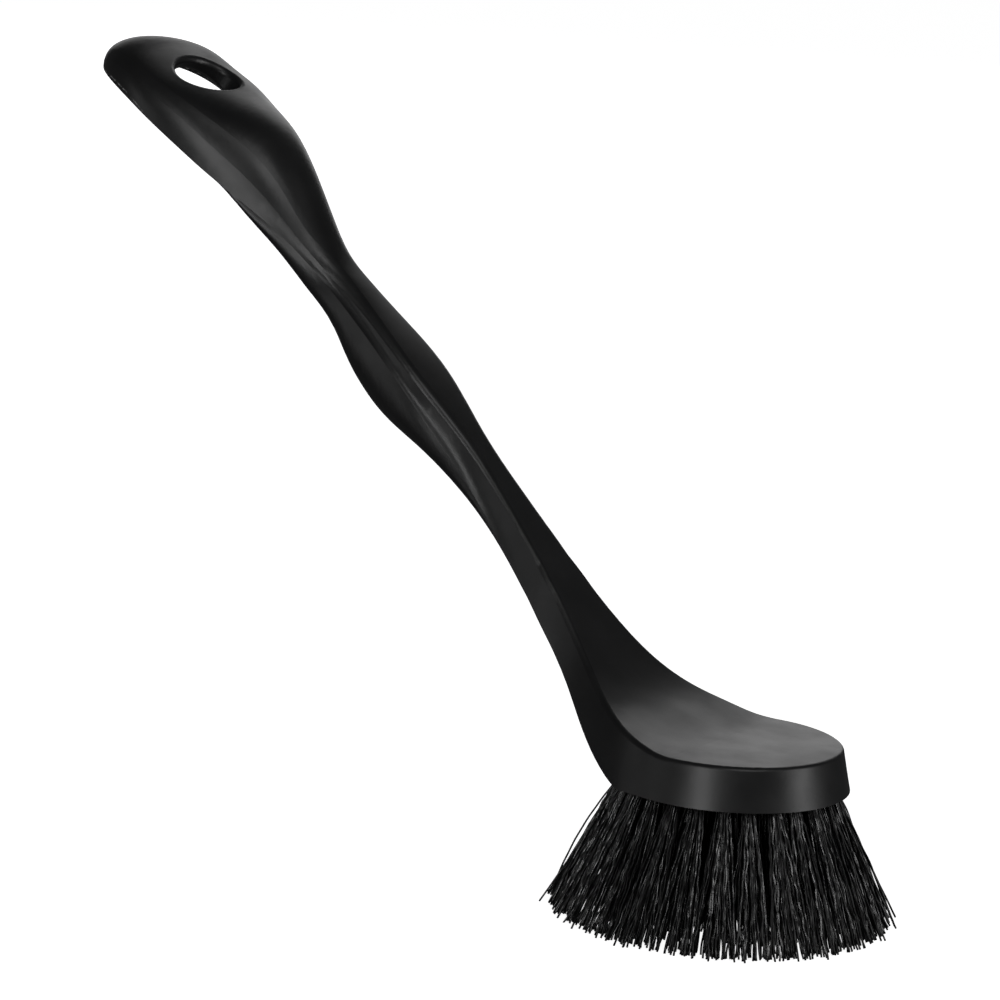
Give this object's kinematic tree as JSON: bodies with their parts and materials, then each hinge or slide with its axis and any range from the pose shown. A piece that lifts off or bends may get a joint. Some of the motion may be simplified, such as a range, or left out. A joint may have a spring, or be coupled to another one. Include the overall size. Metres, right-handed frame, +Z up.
{
  "type": "wheel brush",
  "caption": "Long-handled round wheel brush: moulded satin handle with a domed grip and hanging hole, flared into a round head with splayed crimped bristle tufts.",
  "frame": {"origin": "centre of the plane of the trimmed bristle tips, below the centre of the round head", "axes": "+Z up through the head, square to the bristle plane; +X towards the toe of the head, so the handle rises towards -X; the XZ plane is the brush's plane of symmetry"},
  "size_m": [0.2474, 0.0888, 0.2036],
  "materials": {
    "body_plastic": "satin moulded black polypropylene",
    "bristle": "black crimped polypropylene filament",
    "anchor_metal": "flat steel wire"
  },
  "bodies": {
    "root": {"brush_body": "body_plastic", "tuft_outer_01": "bristle", "tuft_outer_02": "bristle", "tuft_outer_03": "bristle", "tuft_outer_04": "bristle", "tuft_outer_05": "bristle", "tuft_outer_06": "bristle", "tuft_outer_07": "bristle", "tuft_outer_08": "bristle", "tuft_outer_09": "bristle", "tuft_outer_10": "bristle", "tuft_outer_11": "bristle", "tuft_outer_12": "bristle", "tuft_outer_13": "bristle", "tuft_outer_14": "bristle", "tuft_outer_15": "bristle", "tuft_outer_16": "bristle", "tuft_outer_17": "bristle", "tuft_outer_18": "bristle", "tuft_outer_19": "bristle", "tuft_outer_20": "bristle", "tuft_outer_21": "bristle", "tuft_outer_22": "bristle", "tuft_outer_23": "bristle", "tuft_outer_24": "bristle", "tuft_outer_25": "bristle", "tuft_outer_26": "bristle", "tuft_second_01": "bristle", "tuft_second_02": "bristle", "tuft_second_03": "bristle", "tuft_second_04": "bristle", "tuft_second_05": "bristle", "tuft_second_06": "bristle", "tuft_second_07": "bristle", "tuft_second_08": "bristle", "tuft_second_09": "bristle", "tuft_second_10": "bristle", "tuft_second_11": "bristle", "tuft_second_12": "bristle", "tuft_second_13": "bristle", "tuft_second_14": "bristle", "tuft_second_15": "bristle", "tuft_third_01": "bristle", "tuft_third_02": "bristle", "tuft_third_03": "bristle", "tuft_third_04": "bristle", "tuft_third_05": "bristle", "tuft_third_06": "bristle", "tuft_third_07": "bristle", "tuft_third_08": "bristle", "tuft_third_09": "bristle", "tuft_inner_01": "bristle", "tuft_inner_02": "bristle", "tuft_inner_03": "bristle", "tuft_inner_04": "bristle", "tuft_inner_05": "bristle", "tuft_centre": "bristle", "tuft_anchors": "anchor_metal"}
  },
  "joints": []
}
